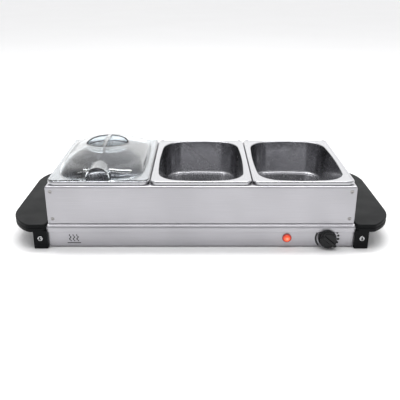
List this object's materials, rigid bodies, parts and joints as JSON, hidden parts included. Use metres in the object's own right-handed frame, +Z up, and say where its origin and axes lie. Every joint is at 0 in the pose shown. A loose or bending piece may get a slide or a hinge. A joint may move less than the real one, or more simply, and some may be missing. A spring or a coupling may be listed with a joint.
{
  "type": "electric buffet server",
  "caption": "Electric buffet server: heated steel base with end handles, lift-off pan frame, removable steel pans, a clear domed lid, a thermostat knob and a pilot lamp.",
  "frame": {"origin": "on the table under the middle of the base, level with the underside of the rubber feet", "axes": "+X to the right seen from the control side, +Y to the back, away from the controls, +Z up"},
  "size_m": [0.633, 0.2849, 0.1479],
  "materials": {
    "brushed_steel": "brushed stainless sheet, grain along the length",
    "pan_steel": "drawn stainless, satin polished",
    "zinc_steel": "zinc-plated steel sheet",
    "black_plastic": "fine-textured moulded black plastic",
    "clear_plastic": "clear moulded plastic",
    "lamp_lens": "translucent red-orange lens",
    "screw_chrome": "bright nickel plating",
    "foot_rubber": "matt rubber",
    "mica": "mica board",
    "blanket": "pressed fibre blanket",
    "ceramic": "unglazed steatite",
    "brass": "machined brass",
    "lead_sleeve": "silicone sleeve"
  },
  "bodies": {
    "base": {"warming_plate": "brushed_steel", "base_housing": "brushed_steel", "bottom_cover": "zinc_steel", "cover_screw_1": "zinc_steel", "cover_screw_2": "zinc_steel", "cover_screw_3": "zinc_steel", "cover_screw_4": "zinc_steel", "handle_left": "black_plastic", "handle_right": "black_plastic", "handle_screw_front_left": "screw_chrome", "handle_screw_rear_left": "screw_chrome", "handle_screw_front_right": "screw_chrome", "handle_screw_rear_right": "screw_chrome", "rubber_foot_front_left": "foot_rubber", "rubber_foot_rear_left": "foot_rubber", "rubber_foot_front_right": "foot_rubber", "rubber_foot_rear_right": "foot_rubber", "mica_heater_left": "mica", "mica_heater_middle": "mica", "mica_heater_right": "mica", "insulation_blanket": "blanket", "heater_clamp_plate": "zinc_steel", "clamp_nut_front_left": "zinc_steel", "clamp_nut_rear_left": "zinc_steel", "clamp_nut_front_right": "zinc_steel", "clamp_nut_rear_right": "zinc_steel", "thermostat_body": "ceramic", "thermostat_nut": "brass", "indicator_lens": "lamp_lens", "indicator_body": "black_plastic", "indicator_clip": "zinc_steel", "cord_gland": "black_plastic", "gland_nut": "black_plastic", "terminal_block": "ceramic", "thermal_fuse": "brass", "earth_screw": "brass", "lead_supply": "lead_sleeve", "lead_switched": "lead_sleeve", "lead_fused": "lead_sleeve", "lead_link_left_middle": "lead_sleeve", "lead_link_middle_right": "lead_sleeve", "lead_return": "lead_sleeve"},
    "knob": {"control_knob": "black_plastic", "thermostat_spindle": "brass"},
    "pan_frame": {"frame_front": "brushed_steel", "frame_rear": "brushed_steel", "frame_end_left": "brushed_steel", "frame_end_right": "brushed_steel", "divider_left": "brushed_steel", "divider_right": "brushed_steel"},
    "left_pan": {"pan_left": "pan_steel"},
    "middle_pan": {"pan_middle": "pan_steel"},
    "right_pan": {"pan_right": "pan_steel"},
    "lid": {"lid_dome": "clear_plastic"}
  },
  "joints": [
    {"name": "knob_turn", "type": "hinge", "parent": "base", "child": "knob", "pos_m": [0.207, -0.138, 0.0168], "axis": [0, 1, 0], "range_deg": [-260, 0]},
    {"name": "frame_lift", "type": "slide", "parent": "base", "child": "pan_frame", "axis": [0, 0, 1], "range_m": [0, 0.12]},
    {"name": "pan_left_lift", "type": "slide", "parent": "pan_frame", "child": "left_pan", "axis": [0, 0, 1], "range_m": [0, 0.09]},
    {"name": "pan_middle_lift", "type": "slide", "parent": "pan_frame", "child": "middle_pan", "axis": [0, 0, 1], "range_m": [0, 0.09]},
    {"name": "pan_right_lift", "type": "slide", "parent": "pan_frame", "child": "right_pan", "axis": [0, 0, 1], "range_m": [0, 0.09]},
    {"name": "lid_lift", "type": "slide", "parent": "left_pan", "child": "lid", "axis": [0, 0, 1], "range_m": [0, 0.08]}
  ]
}
